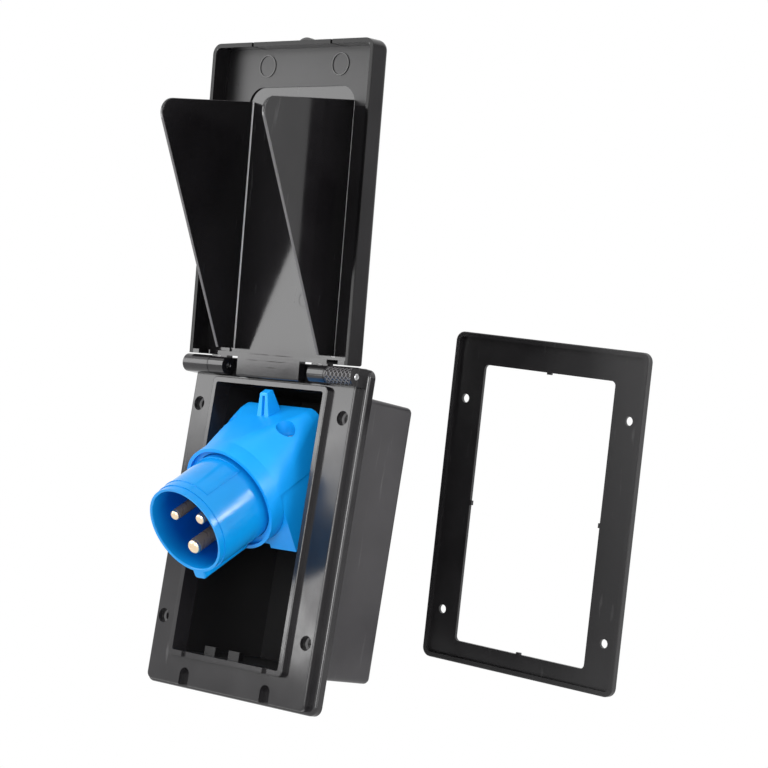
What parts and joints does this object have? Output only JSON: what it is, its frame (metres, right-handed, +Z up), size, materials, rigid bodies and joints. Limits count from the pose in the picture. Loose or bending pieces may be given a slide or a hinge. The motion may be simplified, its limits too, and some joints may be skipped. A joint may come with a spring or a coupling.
{
  "type": "industrial socket",
  "caption": "Flush mains power inlet in a black wall box: an angled blue pin inlet tilts out under a hinged lid with side cheeks, with its separate clamping frame.",
  "frame": {"origin": "the middle of the four flange screw holes, on the rear plane of the flange that meets the wall", "axes": "+X to the right as seen from in front, +Y into the wall along the screws, +Z up"},
  "size_m": [0.2024, 0.1768, 0.3084],
  "materials": {
    "black_plastic": "moulded black plastic, half gloss",
    "blue_plastic": "moulded light blue plastic, half gloss",
    "carrier_plastic": "moulded dark blue plastic, matt",
    "contact_brass": "turned brass, bright",
    "steel": "zinc-plated steel, bright",
    "bracket_steel": "zinc-plated steel, satin",
    "gland_plastic": "moulded dark nylon, matt",
    "seal_rubber": "black rubber, matt"
  },
  "bodies": {
    "box": {"flange": "black_plastic", "recess_box": "black_plastic", "hinge_pin_left": "steel", "hinge_pin_right": "steel", "tilt_bracket": "bracket_steel", "tilt_pin": "steel", "bracket_screws": "steel", "gland_body": "gland_plastic", "gland_nut": "gland_plastic", "gland_seal": "seal_rubber", "mounting_frame": "black_plastic"},
    "lid": {"lid": "black_plastic"},
    "inlet": {"inlet_shroud": "blue_plastic", "inlet_housing": "blue_plastic", "inlet_cover": "blue_plastic", "contact_carrier": "carrier_plastic", "pin_live": "contact_brass", "pin_neutral": "contact_brass", "pin_earth": "contact_brass", "terminal_screws": "steel", "housing_screws": "steel", "cord_clamp": "carrier_plastic", "clamp_screws": "steel"}
  },
  "joints": [
    {"name": "lid_hinge", "type": "hinge", "parent": "box", "child": "lid", "pos_m": [0, -0.0115, 0.07], "axis": [1, 0, 0], "range_deg": [0, 173.2]},
    {"name": "inlet_tilt", "type": "hinge", "parent": "box", "child": "inlet", "pos_m": [0, 0.02061, 0.0376], "axis": [1, 0, 0], "range_deg": [0, 53.9]}
  ],
  "couplings": [
    {"joint": "inlet_tilt", "follows": "lid_hinge", "ratio": 0.3112}
  ]
}
